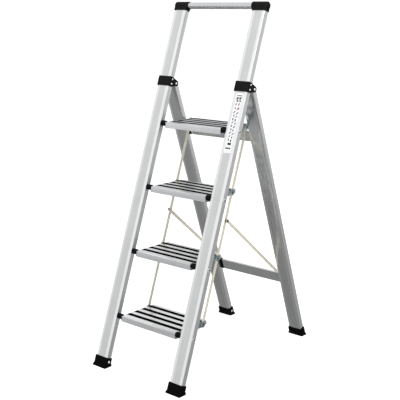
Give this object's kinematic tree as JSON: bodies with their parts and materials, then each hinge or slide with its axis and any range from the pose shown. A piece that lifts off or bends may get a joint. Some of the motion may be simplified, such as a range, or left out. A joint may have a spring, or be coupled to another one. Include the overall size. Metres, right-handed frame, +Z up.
{
  "type": "folding step ladder",
  "caption": "Folding aluminium step ladder with wide grip treads, a tall handrail across the top, plastic hinge brackets and rubber feet",
  "frame": {"origin": "centre of the ground footprint of the open ladder, on the floor", "axes": "+Z up, +X to the right of someone climbing, the climbing side faces -Y"},
  "size_m": [0.4552, 0.8066, 1.3725],
  "materials": {
    "aluminium": "satin anodised extrusion",
    "tread_aluminium": "bright extruded",
    "black_plastic": "fine grain moulded",
    "black_rubber": "matte",
    "zinc_steel": "blue zinc plated",
    "bar_steel": "dull zinc plated",
    "rivet_steel": "bright"
  },
  "bodies": {
    "front_frame": {"stile_left": "aluminium", "stile_right": "aluminium", "front_foot_left": "black_rubber", "front_foot_right": "black_rubber", "handle_tube": "aluminium", "handle_corner_left": "black_plastic", "handle_corner_right": "black_plastic", "hinge_bracket_left": "black_plastic", "hinge_bracket_right": "black_plastic", "hinge_pin_left": "rivet_steel", "hinge_pin_right": "rivet_steel", "bracket_rivet_lower_left": "rivet_steel", "bracket_rivet_lower_right": "rivet_steel", "bracket_rivet_upper_left": "rivet_steel", "bracket_rivet_upper_right": "rivet_steel", "tread_1_axle": "rivet_steel", "tread_2_axle": "rivet_steel", "tread_3_axle": "rivet_steel", "tread_4_axle": "rivet_steel", "tread_1_bush_left": "black_plastic", "tread_1_bush_right": "black_plastic", "tread_2_bush_left": "black_plastic", "tread_2_bush_right": "black_plastic", "tread_3_bush_left": "black_plastic", "tread_3_bush_right": "black_plastic", "tread_4_bush_left": "black_plastic", "tread_4_bush_right": "black_plastic"},
    "rear_frame": {"rear_leg_left": "aluminium", "rear_leg_right": "aluminium", "rear_foot_left": "black_rubber", "rear_foot_right": "black_rubber", "upper_crossbar": "aluminium", "lower_crossbar": "aluminium", "upper_crossbar_cap_left": "black_plastic", "upper_crossbar_cap_right": "black_plastic", "lower_crossbar_cap_left": "black_plastic", "lower_crossbar_cap_right": "black_plastic", "brace_stud_left": "rivet_steel", "brace_stud_right": "rivet_steel"},
    "tread_1_body": {"tread_1": "tread_aluminium", "tread_1_cheek_left": "zinc_steel", "tread_1_cheek_right": "zinc_steel"},
    "tread_2_body": {"tread_2": "tread_aluminium", "tread_2_cheek_left": "zinc_steel", "tread_2_cheek_right": "zinc_steel"},
    "tread_3_body": {"tread_3": "tread_aluminium", "tread_3_cheek_left": "zinc_steel", "tread_3_cheek_right": "zinc_steel"},
    "tread_4_body": {"tread_4": "tread_aluminium", "tread_4_cheek_left": "zinc_steel", "tread_4_cheek_right": "zinc_steel"},
    "link_left": {"link_bar_left": "bar_steel"},
    "link_right": {"link_bar_right": "bar_steel"},
    "brace_arm_left": {"brace_left": "bar_steel", "brace_rivet_left": "rivet_steel", "brace_foot_rivet_left": "rivet_steel"},
    "brace_arm_right": {"brace_right": "bar_steel", "brace_rivet_right": "rivet_steel", "brace_foot_rivet_right": "rivet_steel"}
  },
  "joints": [
    {"name": "fold", "type": "hinge", "parent": "front_frame", "child": "rear_frame", "pos_m": [0, 0.0179, 1.05982], "axis": [-1, 0, 0], "range_deg": [0, 38.2]},
    {"name": "tread_1_pivot", "type": "hinge", "parent": "front_frame", "child": "tread_1_body", "pos_m": [0, -0.31911, 0.1926], "axis": [1, 0, 0], "range_deg": [0, 67]},
    {"name": "tread_2_pivot", "type": "hinge", "parent": "front_frame", "child": "tread_2_body", "pos_m": [0, -0.23435, 0.4326], "axis": [1, 0, 0], "range_deg": [0, 67]},
    {"name": "tread_3_pivot", "type": "hinge", "parent": "front_frame", "child": "tread_3_body", "pos_m": [0, -0.1496, 0.6726], "axis": [1, 0, 0], "range_deg": [0, 67]},
    {"name": "tread_4_pivot", "type": "hinge", "parent": "front_frame", "child": "tread_4_body", "pos_m": [0, -0.06485, 0.9126], "axis": [1, 0, 0], "range_deg": [0, 67]},
    {"name": "link_left_pivot", "type": "hinge", "parent": "tread_2_body", "child": "link_left", "pos_m": [-0.1409, -0.09035, 0.4296], "axis": [-1, 0, 0], "range_deg": [0, 67]},
    {"name": "brace_left_pivot", "type": "hinge", "parent": "link_left", "child": "brace_arm_left", "pos_m": [-0.1493, -0.0422, 0.56595], "axis": [-1, 0, 0], "range_deg": [0, 66.43]},
    {"name": "link_right_pivot", "type": "hinge", "parent": "tread_2_body", "child": "link_right", "pos_m": [0.1409, -0.09035, 0.4296], "axis": [-1, 0, 0], "range_deg": [0, 67]},
    {"name": "brace_right_pivot", "type": "hinge", "parent": "link_right", "child": "brace_arm_right", "pos_m": [0.1493, -0.0422, 0.56595], "axis": [-1, 0, 0], "range_deg": [0, 66.43]}
  ],
  "couplings": [
    {"joint": "tread_1_pivot", "follows": "fold", "ratio": 1.7538},
    {"joint": "tread_2_pivot", "follows": "fold", "ratio": 1.7538},
    {"joint": "tread_3_pivot", "follows": "fold", "ratio": 1.7538},
    {"joint": "tread_4_pivot", "follows": "fold", "ratio": 1.7538},
    {"joint": "link_left_pivot", "follows": "fold", "ratio": 1.7538},
    {"joint": "brace_left_pivot", "follows": "fold", "ratio": 1.7389},
    {"joint": "link_right_pivot", "follows": "fold", "ratio": 1.7538},
    {"joint": "brace_right_pivot", "follows": "fold", "ratio": 1.7389}
  ]
}
